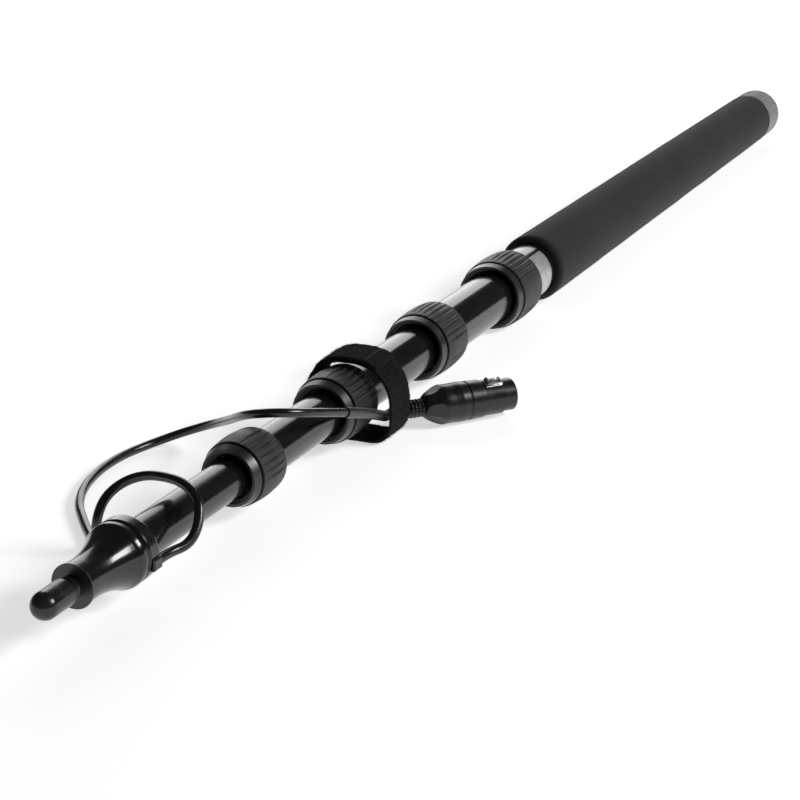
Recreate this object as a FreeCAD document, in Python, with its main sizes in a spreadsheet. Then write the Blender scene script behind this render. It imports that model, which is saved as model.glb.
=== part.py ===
import FreeCAD, Part
import math
import os
import Sketcher
from FreeCAD import Placement, Rotation, Vector

# Telescopic boom pole: five nested tubes with four twist-lock collars, a threaded
# microphone tip with a cable exit, an internal coiled cable and a foam grip.
#
# Frame: millimetres. The pole lies along Y with its tip at -Y, the floor is z = 0 and
# the origin is on the floor under the middle of the closed pole. Lengths along the pole
# are stations, counted from the very tip of the thread cap towards the base.

SHEET = "Sizes"
doc = FreeCAD.newDocument("boom_pole")
sheet = doc.addObject("Spreadsheet::Sheet", SHEET)


# ---------------------------------------------------------------- driving dimensions

DIMENSIONS = {
    "axis_height": 20.5,
    "closed_length": 1080.0,
    "wall": 1.2,
    # outside radii of the tubes, thinnest first
    "tube_1_radius": 9.0,
    "tube_2_radius": 10.75,
    "tube_3_radius": 12.5,
    "tube_4_radius": 14.25,
    "tube_5_radius": 16.0,
    # station of each tube's rear end
    "tube_1_rear": 994.0,
    "tube_2_rear": 1002.0,
    "tube_3_rear": 1010.0,
    "tube_4_rear": 1018.0,
    "tube_5_rear": 1061.0,
    # station of each collar's front lip, and the collar's length
    "collar_1_lip": 144.0,
    "collar_2_lip": 234.0,
    "collar_3_lip": 343.4,
    "collar_4_lip": 451.7,
    "collar_1_length": 27.3,
    "collar_2_length": 30.5,
    "collar_3_length": 33.4,
    "collar_4_length": 35.8,
    # satin band in front of each grip, and the grip's radii at front, middle and rear
    "band_1_length": 4.7,
    "band_2_length": 4.8,
    "band_3_length": 5.3,
    "band_4_length": 5.7,
    "grip_1_front": 15.1,
    "grip_2_front": 16.6,
    "grip_3_front": 18.0,
    "grip_4_front": 19.8,
    "grip_1_middle": 15.75,
    "grip_2_middle": 17.3,
    "grip_3_middle": 18.6,
    "grip_4_middle": 20.4,
    "grip_1_rear": 15.1,
    "grip_2_rear": 16.7,
    "grip_3_rear": 18.0,
    "grip_4_rear": 19.8,
    "seam": 1.0,
    "flute_depth": 0.75,
    "flute_spacing": 3.5,
    "lip_rise": 2.35,
    "mouth_depth": 4.5,
    "tube_set_back": 12.0,
    "thread_rise": 1.1,
    "running_gap": 0.05,
    "free_gap": 0.35,
    # sliding bushes on the rear ends of the four inner tubes
    "bush_length": 18.0,
    "bush_flange": 3.0,
    "bush_gap": 0.08,
    # tip: thread cap, stud, cone and exit ring
    "cap_radius": 5.7,
    "cap_length": 18.0,
    "cap_wall": 0.85,
    "stud_radius": 4.76,
    "stud_front": 4.5,
    "flange_radius": 9.3,
    "flange_front": 23.5,
    "flange_thickness": 0.9,
    "shank_radius": 5.0,
    "shank_length": 20.0,
    "neck_radius": 8.7,
    "rim_radius": 14.0,
    "cone_length": 31.5,
    "tube_socket": 8.0,
    "ring_front": 56.7,
    "ring_length": 8.3,
    "ring_radius": 14.0,
    "gland_front": 58.0,
    "gland_side": 5.0,
    "gland_reach": 15.2,
    "gland_inner": 10.4,
    "gland_drop": 3.2,
    # grip end
    "foam_front": 521.0,
    "foam_length": 527.0,
    "foam_radius": 20.5,
    "foam_round": 2.5,
    "label_front": 494.0,
    "label_length": 19.0,
    "label_thickness": 0.12,
    "base_cap_length": 31.0,
    "base_cap_radius": 20.0,
    "socket_radius": 8.4,
    "socket_depth": 12.0,
    "insert_length": 6.0,
    "pin_radius": 1.2,
    "pin_circle": 4.1,
    "coil_radius": 5.6,
    # free cable and its connector
    "cable_diameter": 4.2,
    "sleeve_diameter": 5.2,
    "plug_x": 22.9,
    "plug_station": 284.2,
    "plug_height": 10.2,
    "plug_length": 57.4,
    "plug_heading": 40.73,
    "latch_roll": 22.0,
    "boot_radius": 10.2,
    "shell_radius": 9.0,
    "barrel_radius": 8.15,
    "shell_bore": 7.4,
    # hook-and-loop strap round the pole and the cable
    "strap_front": 257.5,
    "strap_width": 22.5,
    "strap_bore": 18.3,
    "strap_thickness": 2.2,
    "strap_reach": 6.0,
    "strap_corner": 9.0,
    "strap_heel": 7.0,
}

# Flutes come in three groups on each collar, and each collar stopped at its own angle.
FLUTES_PER_GROUP = {1: 7, 2: 7, 3: 9, 4: 7}
FLUTE_SCALE = 0.085
GRIP_CLOCKING = {1: 38.0, 2: 52.0, 3: 60.0, 4: 66.0}

for row, (alias, number) in enumerate(DIMENSIONS.items(), start=1):
    sheet.set(f"A{row}", alias)
    sheet.set(f"B{row}", str(number))
    sheet.setAlias(f"B{row}", alias)
doc.recompute()


class Size:
    """A length together with the sheet expression that gives it."""

    def __init__(self, value, text):
        self.value = value
        self.text = text

    def __add__(self, other):
        other = as_size(other)
        return Size(self.value + other.value, f"({self.text} + {other.text})")

    def __radd__(self, other):
        return as_size(other) + self

    def __sub__(self, other):
        other = as_size(other)
        return Size(self.value - other.value, f"({self.text} - {other.text})")

    def __rsub__(self, other):
        return as_size(other) - self

    def __mul__(self, factor):
        return Size(self.value * factor, f"({self.text} * {factor})")

    __rmul__ = __mul__


def as_size(number):
    return number if isinstance(number, Size) else Size(float(number), str(float(number)))


def dim(alias):
    return Size(float(sheet.get(alias)), f"{SHEET}.{alias}")


AXIS = dim("axis_height")
WALL = dim("wall")
ZERO = as_size(0)


# ---------------------------------------------------------------- building helpers


def bind(obj, name, size):
    size = as_size(size)
    obj.setExpression(name, size.text)


def place(obj, x, y, z, rotation=None):
    x, y, z = as_size(x), as_size(y), as_size(z)
    obj.Placement = Placement(Vector(x.value, y.value, z.value), rotation or Rotation())
    for axis_name, size in (("x", x), ("y", y), ("z", z)):
        bind(obj, f"Placement.Base.{axis_name}", size)


def along(station):
    """Y of a station counted from the tip of the closed pole."""
    return as_size(station) - dim("closed_length") * 0.5


def on_axis(obj, station):
    place(obj, 0, along(station), AXIS)


def origin_plane(body, role):
    return next(f for f in body.Origin.OriginFeatures if f.Role == role)


def new_body(label):
    body = doc.addObject("PartDesign::Body", label)
    body.Label = label
    return body


def new_sketch(body, name, role):
    sketch = body.newObject("Sketcher::SketchObject", f"{body.Name}_{name}")
    sketch.AttachmentSupport = [(origin_plane(body, role), "")]
    sketch.MapMode = "FlatFace"
    return sketch


def pin_point(sketch, geometry, end, x, y):
    """Fixes one end of a sketch element at x, y with expressions."""
    for kind, size, axis_line in (("DistanceX", x, -2), ("DistanceY", y, -1)):
        if size.text == ZERO.text:
            sketch.addConstraint(
                Sketcher.Constraint("PointOnObject", geometry, end, axis_line)
            )
            continue
        index = sketch.addConstraint(
            Sketcher.Constraint(kind, -1, 1, geometry, end, size.value)
        )
        bind(sketch, f"Constraints[{index}]", size)


def arc_between(start, stop, radius):
    """Arc from start to stop; a positive radius keeps its centre left of the chord."""
    chord = stop - start
    left = Vector(-chord.y, chord.x, 0).normalize()
    rise = math.sqrt(max(radius * radius - chord.Length**2 / 4, 0))
    centre = (start + stop) * 0.5 + left * math.copysign(rise, radius)
    first, last = (start, stop) if radius > 0 else (stop, start)
    angles = [math.atan2(p.y - centre.y, p.x - centre.x) for p in (first, last)]
    circle = Part.Circle(centre, Vector(0, 0, 1), abs(radius))
    return Part.ArcOfCircle(circle, angles[0], angles[1])


def draw_profile(sketch, corners):
    """Closed outline through corners (x, y) or (x, y, radius of the arc that ends there)."""
    corners = [[as_size(value) for value in corner] for corner in corners]
    count = len(corners)
    ends = []
    for index in range(count):
        here, there = corners[index], corners[(index + 1) % count]
        start = Vector(here[0].value, here[1].value, 0)
        stop = Vector(there[0].value, there[1].value, 0)
        if len(there) == 3:
            radius = there[2]
            geometry = sketch.addGeometry(arc_between(start, stop, radius.value), False)
            number = sketch.addConstraint(
                Sketcher.Constraint("Radius", geometry, abs(radius.value))
            )
            bind(sketch, f"Constraints[{number}]", radius if radius.value > 0 else radius * -1)
            ends.append((geometry, 1, 2) if radius.value > 0 else (geometry, 2, 1))
        else:
            geometry = sketch.addGeometry(Part.LineSegment(start, stop), False)
            ends.append((geometry, 1, 2))
    for index in range(count):
        geometry, first, last = ends[index]
        following, next_first, _ = ends[(index + 1) % count]
        sketch.addConstraint(
            Sketcher.Constraint("Coincident", geometry, last, following, next_first)
        )
        pin_point(sketch, geometry, first, corners[index][0], corners[index][1])


def turned(label, corners, station=None):
    """A body turned about its own Y axis from an outline of (radius, length) corners."""
    body = new_body(label)
    sketch = new_sketch(body, "profile", "XY_Plane")
    draw_profile(sketch, corners)
    revolution = body.newObject("PartDesign::Revolution", f"{label}_turned")
    revolution.Profile = sketch
    revolution.ReferenceAxis = (sketch, ["V_Axis"])
    revolution.Angle = 360
    body.Tip = revolution
    if station is not None:
        on_axis(body, station)
    return body


def tube_corners(inner, outer, length, start=0):
    return [(inner, start), (outer, start), (outer, start + length), (inner, start + length)]


def drill(body, name, centres, radius, length=None, pattern=1):
    """Cuts round holes along Y through a turned body; pattern repeats them about the axis."""
    doc.recompute()
    before = body.Shape.Volume
    sketch = new_sketch(body, name, "XZ_Plane")
    for x, z in centres:
        x, z = as_size(x), as_size(z)
        circle = Part.Circle(Vector(x.value, z.value, 0), Vector(0, 0, 1), as_size(radius).value)
        geometry = sketch.addGeometry(circle, False)
        number = sketch.addConstraint(
            Sketcher.Constraint("Radius", geometry, as_size(radius).value)
        )
        bind(sketch, f"Constraints[{number}]", radius)
        pin_point(sketch, geometry, 3, x, z)
    pocket = body.newObject("PartDesign::Pocket", f"{body.Name}_{name}_cut")
    pocket.Profile = sketch
    if length is None:
        pocket.Type = "ThroughAll"
    else:
        pocket.Type = "Length"
        bind(pocket, "Length", length)
    pocket.Reversed = False
    body.Tip = pocket
    doc.recompute()
    if before - body.Shape.Volume < 1e-3:
        pocket.Reversed = True
        doc.recompute()
    if pattern > 1:
        polar = body.newObject("PartDesign::PolarPattern", f"{body.Name}_{name}_ring")
        polar.Originals = [pocket]
        polar.Axis = (sketch, ["N_Axis"])
        polar.Angle = 360
        polar.Occurrences = pattern
        body.Tip = polar
        doc.recompute()
    if before - body.Shape.Volume < 1e-3:
        raise RuntimeError(f"{body.Label}: {name} cut nothing")


def cylinder(name, radius, length, x=0, y=0, z=0, rotation=None):
    """A Part cylinder whose own axis is turned to lie along Y unless told otherwise."""
    obj = doc.addObject("Part::Cylinder", name)
    bind(obj, "Radius", radius)
    bind(obj, "Height", length)
    place(obj, x, y, z, rotation or Rotation(Vector(1, 0, 0), -90))
    return obj


def box(name, sizes, corner, rotation=None):
    obj = doc.addObject("Part::Box", name)
    for side, size in zip(("Length", "Width", "Height"), sizes):
        bind(obj, side, size)
    place(obj, *corner, rotation)
    return obj


def boolean(kind, name, base, tool):
    obj = doc.addObject(f"Part::{kind}", name)
    obj.Base = base
    obj.Tool = tool
    obj.Label = name
    return obj


# ---------------------------------------------------------------- tubes and bushes


def tube_radius(number):
    return dim(f"tube_{number}_radius")


def tube_front(number):
    if number == 1:
        return dim("flange_front") + dim("flange_thickness") + dim("cone_length") - dim("tube_socket")
    return dim(f"collar_{number - 1}_lip") + dim("tube_set_back")


def make_tube(number):
    outer = tube_radius(number)
    front = tube_front(number)
    length = dim(f"tube_{number}_rear") - front
    return turned(f"tube_{number}", tube_corners(outer - WALL, outer, length), front)


def make_guide_bush(number):
    """Ring over the tube's rear end that runs in the bore of the next tube."""
    tube = tube_radius(number)
    runs_in = tube_radius(number + 1) - WALL - dim("bush_gap")
    sleeve = dim("bush_length")
    end = sleeve + dim("bush_flange")
    corners = [
        (tube, ZERO),
        (runs_in - 0.2, ZERO),
        (runs_in, as_size(1.5)),
        (runs_in, end - 1),
        (runs_in - 0.5, end),
        (tube - WALL - 0.6, end),
        (tube - WALL - 0.6, sleeve),
        (tube, sleeve),
    ]
    return turned(f"guide_bush_{number}", corners, dim(f"tube_{number}_rear") - sleeve)


# ---------------------------------------------------------------- twist-lock collars


def make_lock_nut(number):
    """Nut with a conical band in front and a mouth that steps down to the inner tube."""
    inner, outer = tube_radius(number), tube_radius(number + 1)
    length = dim(f"collar_{number}_length")
    band = dim(f"band_{number}_length")
    lip = outer + dim("lip_rise")
    bore = outer + dim("thread_rise") + dim("running_gap")
    seat = outer + 2.2
    depth = dim("mouth_depth")
    groove = inner + 2.3
    gate = inner + 1.3
    corners = [
        (gate + 1.6, ZERO),
        (lip - 0.15, ZERO),
        (lip, as_size(0.15)),
        (dim(f"grip_{number}_front") - 0.7, band - 0.3),
        (dim(f"grip_{number}_front") - 0.95, band),
        (seat, band),
        (seat, length - 2.2),
        (bore, length - 2.2),
        (bore, depth + 2),
        (groove, depth + 2),
        (groove, depth),
        (gate, depth),
        (gate, as_size(2.6)),
        (gate + 0.3, as_size(2.3)),
        (gate + 0.7, as_size(2.3)),
        (gate + 0.7, as_size(1.5)),
        (gate + 1.0, as_size(1.2)),
        (gate + 1.35, as_size(1.2)),
        (gate + 1.35, as_size(0.25)),
    ]
    return turned(f"lock_nut_{number}", corners, dim(f"collar_{number}_lip"))


def make_grip_sleeve(number):
    """Rubber barrel over the nut, with groups of straight flutes that fade out."""
    outer = tube_radius(number + 1)
    length = dim(f"collar_{number}_length")
    start = dim(f"band_{number}_length") + dim("seam")
    seat = outer + 2.2
    front, middle, rear = (dim(f"grip_{number}_{part}") for part in ("front", "middle", "rear"))
    half = (length.value - start.value) / 2
    sag_front = middle.value - front.value
    sag_rear = middle.value - rear.value
    corners = [
        (seat, start),
        (front - 0.25, start),
        (front, start + 0.25),
        (middle, start + half, (half**2 + sag_front**2) / (2 * sag_front)),
        (rear, length - 1.4, (half**2 + sag_rear**2) / (2 * sag_rear)),
        (rear - 1.4, length, 1.5),
        (outer + dim("free_gap"), length),
        (outer + dim("free_gap"), length - 2),
        (seat, length - 2),
    ]
    body = turned(f"grip_sleeve_{number}", corners, dim(f"collar_{number}_lip"))
    cutter = middle * FLUTE_SCALE
    reach = middle + cutter - dim("flute_depth")
    count = FLUTES_PER_GROUP[number]
    pitch = dim("flute_spacing").value / middle.value
    first = math.radians(GRIP_CLOCKING[number]) - pitch * (count - 1) / 2
    angles = [first + pitch * index for index in range(count)]
    centres = [(reach * math.cos(angle), reach * math.sin(angle)) for angle in angles]
    drill(body, "flutes", centres, cutter, pattern=3)
    return body


def make_ferrule(number):
    """Threaded sleeve bonded on the front end of the outer tube, threads as plain rings."""
    outer = tube_radius(number + 1)
    crest = outer + dim("thread_rise")
    start = dim("tube_set_back")
    length = dim(f"collar_{number}_length")
    corners = [(outer, start), (crest, start)]
    for turn in range(3):
        groove = start + 1.5 + 2.0 * turn
        corners += [(crest, groove), (crest - 0.5, groove + 0.4)]
        corners += [(crest - 0.5, groove + 0.8), (crest, groove + 1.2)]
    corners += [(crest, length - 3), (outer, length - 3)]
    return turned(f"ferrule_{number}", corners, dim(f"collar_{number}_lip"))


def make_collet(number):
    """Split ring that the nut squeezes on to the inner tube."""
    inner, outer = tube_radius(number), tube_radius(number + 1)
    start = dim("mouth_depth") + 2.5
    end = dim("tube_set_back")
    corners = [
        (inner + dim("running_gap"), start),
        (outer + 0.2, start),
        (outer + 0.75, start + 1.5),
        (outer + 0.75, end),
        (inner + dim("running_gap"), end),
    ]
    body = turned(f"collet_{number}", corners, dim(f"collar_{number}_lip"))
    doc.recompute()
    sketch = new_sketch(body, "slit", "XZ_Plane")
    near, far = inner.value - 1, outer.value + 2
    draw_profile(sketch, [(near, 0.5), (near, -0.5), (far, -0.5), (far, 0.5)])
    whole = body.Shape.Volume
    pocket = body.newObject("PartDesign::Pocket", f"{body.Name}_slit_cut")
    pocket.Profile = sketch
    pocket.Type = "Length"
    bind(pocket, "Length", end - 1.2)
    body.Tip = pocket
    doc.recompute()
    if whole - body.Shape.Volume < 1e-3:
        pocket.Reversed = True
    polar = body.newObject("PartDesign::PolarPattern", f"{body.Name}_slits")
    polar.Originals = [pocket]
    polar.Axis = (sketch, ["N_Axis"])
    polar.Angle = 360
    polar.Occurrences = 6
    body.Tip = polar
    return body


def make_wiper(number):
    inner = tube_radius(number)
    start = dim("mouth_depth") + 0.3
    corners = [
        (inner + dim("free_gap"), start + 0.5),
        (inner + 0.8, start),
        (inner + 2.3, start),
        (inner + 2.3, start + 1.7),
        (inner + dim("free_gap"), start + 1.7),
    ]
    return turned(f"wiper_{number}", corners, dim(f"collar_{number}_lip"))


# ---------------------------------------------------------------- tip


def make_thread_cap():
    radius, length = dim("cap_radius"), dim("cap_length")
    bore = radius - dim("cap_wall")
    corners = [
        (ZERO, ZERO),
        (radius, radius, radius),
        (radius, length - 0.3),
        (radius - 0.3, length),
        (bore, length),
        (bore, dim("stud_front") - 0.3),
        (bore - 1.0, dim("stud_front") - 1.3),
        (ZERO, dim("stud_front") - 1.3),
    ]
    return turned("thread_cap", corners, 0)


def make_mic_stud():
    """Threaded stud, flange and the shank that holds the cone; threads as plain rings."""
    stud = dim("stud_radius")
    front = dim("flange_front") - dim("stud_front")
    root = stud - 0.75
    corners = [(ZERO, ZERO), (root, ZERO), (stud, as_size(1.0))]
    pitch = 1.5875
    for turn in range(10):
        crest = 1.6 + pitch * turn
        corners += [(stud, as_size(crest)), (root, as_size(crest + 0.55))]
        corners += [(root, as_size(crest + 0.75)), (stud, as_size(crest + 1.3))]
    corners += [
        (stud, front),
        (dim("flange_radius") - 0.15, front),
        (dim("flange_radius"), front + 0.15),
        (dim("flange_radius"), front + dim("flange_thickness")),
        (dim("shank_radius"), front + dim("flange_thickness")),
        (dim("shank_radius"), front + dim("flange_thickness") + dim("shank_length")),
        (ZERO, front + dim("flange_thickness") + dim("shank_length")),
    ]
    return turned("mic_stud", corners, dim("stud_front"))


def make_tip_cone():
    """Trumpet-shaped nose: a straight neck, a long concave flare and a rounded rim."""
    length = dim("cone_length")
    neck, rim = dim("neck_radius"), dim("rim_radius")
    shank, tube = dim("shank_radius"), tube_radius(1)
    socket = length - dim("tube_socket")
    corners = [
        (shank, ZERO),
        (neck - 0.2, ZERO),
        (neck, as_size(0.3)),
        (neck, as_size(6.6)),
        (rim - 1.1, as_size(26.6), as_size(-52.0)),
        (rim, length - 2.2, as_size(9.0)),
        (rim, length - 0.4),
        (rim - 0.4, length),
        (tube, length),
        (tube, socket),
        (shank, socket),
    ]
    return turned("tip_cone", corners, dim("flange_front") + dim("flange_thickness"))


GLAND_GAP = 1.0
GLAND_SOFTNESS = 0.8


def gland_block(name, set_back):
    """Block at the ring's side that ends set_back in front of the ring's rear face."""
    length = dim("ring_front") + dim("ring_length") - dim("gland_front") - set_back
    side, inner = dim("gland_side"), dim("gland_inner")
    low = AXIS - dim("gland_drop") - side * 0.5
    sizes = (dim("gland_reach") - inner, length, side)
    return box(name, sizes, (inner, along(dim("gland_front")), low))


def make_exit_ring():
    """Ring behind the cone rim; its right side is slotted for the cable gland."""
    radius, length = dim("ring_radius"), dim("ring_length")
    tube = tube_radius(1)
    corners = [
        (tube, ZERO),
        (radius - 1.2, ZERO),
        (radius - 0.3, as_size(0.7)),
        (radius, as_size(1.4)),
        (radius, length - 2.2),
        (radius - 2.0, length, as_size(2.3)),
        (tube, length),
    ]
    blank = turned("exit_ring_blank", corners, dim("ring_front"))
    return boolean("Cut", "exit_ring", blank, gland_block("gland_slot", 0.0))


def make_exit_gland():
    """Block with softened outer edges; the cable leaves its rear face."""
    block = gland_block("gland_blank", GLAND_GAP)
    doc.recompute()
    soft = doc.addObject("Part::Fillet", "gland_rounded")
    soft.Base = block
    outer_face = dim("gland_reach").value
    edges = []
    for index, edge in enumerate(block.Shape.Edges, start=1):
        if edge.CenterOfMass.x > outer_face - 0.01:
            edges.append((index, GLAND_SOFTNESS, GLAND_SOFTNESS))
    soft.Edges = edges
    soft.Label = "exit_gland"
    return soft


# ---------------------------------------------------------------- grip end


def make_foam_grip():
    outer, tube = dim("foam_radius"), tube_radius(5)
    length, soft = dim("foam_length"), dim("foam_round")
    corners = [
        (tube, ZERO),
        (outer - soft, ZERO),
        (outer, soft, soft),
        (outer, length - soft),
        (outer - soft, length, soft),
        (tube, length),
    ]
    return turned("foam_grip", corners, dim("foam_front"))


LABEL_WRAP = 118
LABEL_TURN = 61


def make_serial_label():
    """Blank metal foil that wraps part of the tube between collar and foam."""
    tube = tube_radius(5)
    body = new_body("serial_label")
    sketch = new_sketch(body, "profile", "XY_Plane")
    draw_profile(sketch, tube_corners(tube, tube + dim("label_thickness"), dim("label_length")))
    revolution = body.newObject("PartDesign::Revolution", "serial_label_turned")
    revolution.Profile = sketch
    revolution.ReferenceAxis = (sketch, ["V_Axis"])
    revolution.Angle = LABEL_WRAP
    body.Tip = revolution
    turn = Rotation(Vector(0, 1, 0), -LABEL_TURN)
    place(body, 0, along(dim("label_front")), AXIS, turn)
    return body


KNURL_RADIUS = 1.0
KNURL_OFFSET = 0.45
KNURL_COUNT = 60


def make_base_cap():
    """Knurled end ring with the output socket's well in its rear face."""
    length, radius = dim("base_cap_length"), dim("base_cap_radius")
    tube = tube_radius(5)
    start = dim("closed_length") - length
    socket = dim("tube_5_rear") - start
    well = length - dim("socket_depth") - dim("insert_length")
    corners = [
        (tube, ZERO),
        (radius - 0.8, ZERO),
        (radius, as_size(0.8)),
        (radius, length - 2.5),
        (radius - 2.5, length, as_size(2.5)),
        (dim("socket_radius"), length),
        (dim("socket_radius"), well),
        (as_size(6.0), well),
        (as_size(6.0), socket - 5),
        (tube - WALL, socket - 5),
        (tube - WALL, socket),
        (tube, socket),
    ]
    body = turned("base_cap", corners, start)
    drill(body, "knurl", [(radius + KNURL_OFFSET, ZERO)], KNURL_RADIUS, pattern=KNURL_COUNT)
    return body


def make_output_insert():
    """Moulded carrier of the output pins at the bottom of the well."""
    length = dim("insert_length")
    corners = tube_corners(ZERO, dim("socket_radius"), length, ZERO)
    start = dim("closed_length") - dim("socket_depth") - length
    body = turned("output_insert", corners, start)
    drill(body, "pins", pin_centres(3), dim("pin_radius"))
    return body


def pin_centres(count):
    ring = dim("pin_circle")
    angles = [math.radians(-90 + 360 / count * index) for index in range(count)]
    return [(ring * math.cos(angle), ring * math.sin(angle)) for angle in angles]


def make_pins(label, radius, length, start, placement_base, rotation=None):
    """Three separate pins in one node, chamfered at their ends."""
    pins = doc.addObject("Part::Feature", label)
    pins.Label = label
    solids = []
    for x, z in pin_centres(3):
        base = Vector(x.value, start, z.value)
        rod = Part.makeCylinder(radius, length, base, Vector(0, 1, 0))
        solids.append(rod.makeChamfer(radius * 0.35, [rod.Edges[0]]))
    pins.Shape = Part.makeCompound(solids)
    place(pins, *placement_base, rotation)
    return pins


# ---------------------------------------------------------------- free cable


# Points of the cable's route: x, station, height above the pole's axis.
ROUTE = [
    (13.0, 64.0, -3.2),
    (13.0, 71.8, -3.2),
    (17.2, 80.5, -2.6),
    (17.9, 88.0, 3.0),
    (14.8, 94.2, 11.0),
    (6.0, 98.5, 15.5),
    (-5.0, 102.0, 15.3),
    (-16.5, 104.5, 13.5),
    (-26.5, 103.5, 9.3),
    (-32.6, 98.5, 3.5),
    (-34.0, 93.5, -4.0),
    (-34.6, 93.0, -12.0),
    (-38.6, 97.2, -17.6),
    (-46.0, 104.8, -18.3),
    (-56.0, 116.0, -18.3),
    (-68.5, 131.0, -18.3),
    (-77.8, 150.0, -18.3),
    (-82.8, 171.0, -18.3),
    (-83.2, 192.0, -18.3),
    (-78.5, 209.5, -18.0),
    (-68.0, 220.0, -14.5),
    (-53.5, 220.0, -8.5),
    (-39.5, 211.0, -1.5),
    (-27.0, 197.0, 6.0),
    (-15.5, 183.5, 13.5),
    (-4.5, 175.5, 18.8),
    (6.5, 176.0, 20.8),
    (13.8, 184.5, 19.0),
    (17.4, 197.5, 15.5),
    (19.6, 212.5, 11.0),
    (21.0, 228.0, 6.0),
    (21.2, 243.0, 0.8),
    (20.2, 256.5, -4.5),
    (18.6, 267.5, -9.0),
    (17.68, 278.14, -10.3),
    (22.9, 284.2, -10.3),
]


def rounded_path(points):
    """Straight runs joined by tangent arcs, each as large as its two runs allow."""
    edges = []
    radii = []
    last = points[0]
    for before, corner, after in zip(points, points[1:], points[2:]):
        back, ahead = before - corner, after - corner
        shorter = min(back.Length, ahead.Length)
        half_turn = (math.pi - back.getAngle(ahead)) / 2
        trim = 0.45 * shorter
        radii.append(trim / math.tan(half_turn))
        back, ahead = back.normalize(), ahead.normalize()
        start, stop = corner + back * trim, corner + ahead * trim
        middle_out = (back + ahead).normalize()
        reach = trim / math.sin(half_turn) - trim / math.tan(half_turn)
        edges.append(Part.LineSegment(last, start).toShape())
        edges.append(Part.Arc(start, corner + middle_out * reach, stop).toShape())
        last = stop
    edges.append(Part.LineSegment(last, points[-1]).toShape())
    return Part.Wire(edges), radii


def pipe_along(path, diameter):
    """Solid round pipe along a wire."""
    first = path.Edges[0]
    heading = first.tangentAt(first.FirstParameter)
    ring = Part.Circle(first.Vertexes[0].Point, heading, diameter / 2).toShape()
    return path.makePipeShell([Part.Wire(ring)], True, True)


def make_mic_cable():
    diameter = dim("cable_diameter").value
    radius = diameter / 2
    path, radii = rounded_path([Vector(*point) for point in ROUTE])
    cable = doc.addObject("Part::Feature", "mic_cable")
    cable.Label = "mic_cable"
    cable.Shape = pipe_along(path, diameter)
    place(cable, 0, along(0), AXIS)
    section = math.pi * radius**2
    print("cable length", round(path.Length, 1), "tightest arcs", sorted(round(r, 1) for r in radii)[:6])
    ratio = cable.Shape.Volume / (section * path.Length)
    print("cable volume over section times length", round(ratio, 4))
    return cable


# The shrink sleeve begins on the run that follows this corner of the route.
SLEEVE_CORNER = 29


def make_cable_sleeve():
    """Shrink sleeve over the last stretch of the cable, up to the connector."""
    path, _ = rounded_path([Vector(*point) for point in ROUTE])
    covered = Part.Wire(path.Edges[2 * SLEEVE_CORNER:])
    outside = pipe_along(covered, dim("sleeve_diameter").value)
    inside = pipe_along(covered, dim("cable_diameter").value)
    sleeve = doc.addObject("Part::Feature", "cable_sleeve")
    sleeve.Label = "cable_sleeve"
    sleeve.Shape = outside.cut(inside)
    place(sleeve, 0, along(0), AXIS)
    return sleeve


# ---------------------------------------------------------------- cable connector


def plug_turn(roll=0.0):
    heading = Rotation(Vector(0, 0, 1), -dim("plug_heading").value)
    return heading.multiply(Rotation(Vector(0, 1, 0), roll))


def on_plug(obj, roll=0.0):
    place(obj, dim("plug_x"), along(dim("plug_station")), dim("plug_height"), plug_turn(roll))
    return obj


BOOT_END = 27.0
SHELL_START = 23.0
RING_START = 31.2
SHELL_STEP = 39.8
BARREL_START = 50.2
INSERT_START = 41.0


def make_plug_boot():
    """Ribbed strain relief and bulbous rubber boot, hollow round the chuck."""
    widest = dim("boot_radius")
    crest, root = as_size(4.6), as_size(3.9)
    corners = [(ZERO, ZERO), (root, ZERO)]
    for rib in range(4):
        front = 0.4 + 1.9 * rib
        corners += [(crest, as_size(front)), (crest, as_size(front + 0.9))]
        corners += [(root, as_size(front + 1.1)), (root, as_size(front + 1.6))]
    corners += [
        (crest + 0.6, as_size(8.4)),
        (widest - 1.9, as_size(13.5), as_size(7.0)),
        (widest, as_size(20.0), as_size(16.0)),
        (widest - 0.4, as_size(SHELL_START), as_size(22.0)),
        (as_size(7.9), as_size(SHELL_START)),
        (as_size(7.2), as_size(12.5)),
        (ZERO, as_size(12.5)),
    ]
    return on_plug(turned("plug_boot", corners))


def make_plug_chuck():
    """Jaw that clamps the cable inside the boot."""
    corners = [
        (as_size(2.2), as_size(13.0)),
        (as_size(4.8), as_size(13.0)),
        (as_size(6.9), as_size(19.0)),
        (dim("shell_bore"), as_size(SHELL_START + 0.4)),
        (dim("shell_bore"), as_size(SHELL_START + 5.0)),
        (as_size(2.2), as_size(SHELL_START + 5.0)),
    ]
    return on_plug(turned("plug_chuck", corners))


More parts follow.
